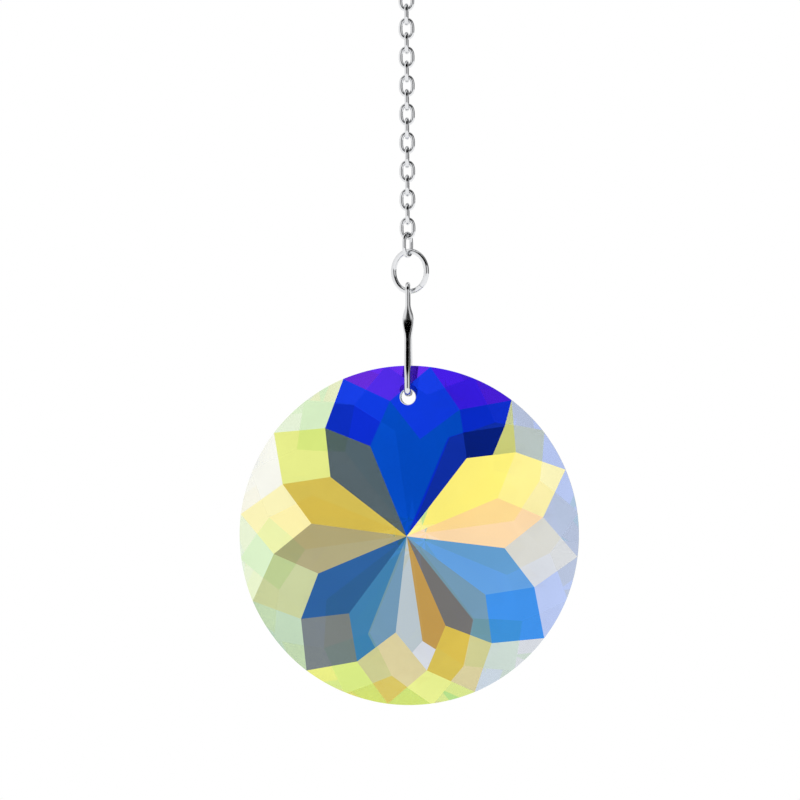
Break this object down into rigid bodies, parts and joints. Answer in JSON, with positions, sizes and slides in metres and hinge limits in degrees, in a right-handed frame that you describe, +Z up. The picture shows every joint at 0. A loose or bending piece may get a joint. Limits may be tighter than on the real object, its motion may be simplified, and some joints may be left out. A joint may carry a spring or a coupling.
{
  "type": "crystal suncatcher",
  "caption": "Round faceted glass disc, drilled near its rim, hanging from a wire clip, a jump ring and a fine cable chain that ends in a plain hanging ring.",
  "frame": {"origin": "inside top of the hanging ring, where a hook bears", "axes": "+Z up along the chain, the crystal's front faces -Y, +X to the right as seen from the front"},
  "size_m": [0.045, 0.0184, 0.115],
  "materials": {
    "crystal": "clear cut glass, polished facets with an iridescent coating",
    "metal": "bright polished wire"
  },
  "bodies": {
    "root": {"crystal": "crystal", "clip": "metal", "jump_ring": "metal", "end_link": "metal", "chain_link_01": "metal", "chain_link_02": "metal", "chain_link_03": "metal", "chain_link_04": "metal", "chain_link_05": "metal", "chain_link_06": "metal", "chain_link_07": "metal", "chain_link_08": "metal", "chain_link_09": "metal", "chain_link_10": "metal", "chain_link_11": "metal", "chain_link_12": "metal", "chain_link_13": "metal", "chain_link_14": "metal", "chain_link_15": "metal", "chain_link_16": "metal", "chain_link_17": "metal", "chain_link_18": "metal", "chain_link_19": "metal", "chain_link_20": "metal", "chain_link_21": "metal", "chain_link_22": "metal", "hanging_ring": "metal"}
  },
  "joints": []
}
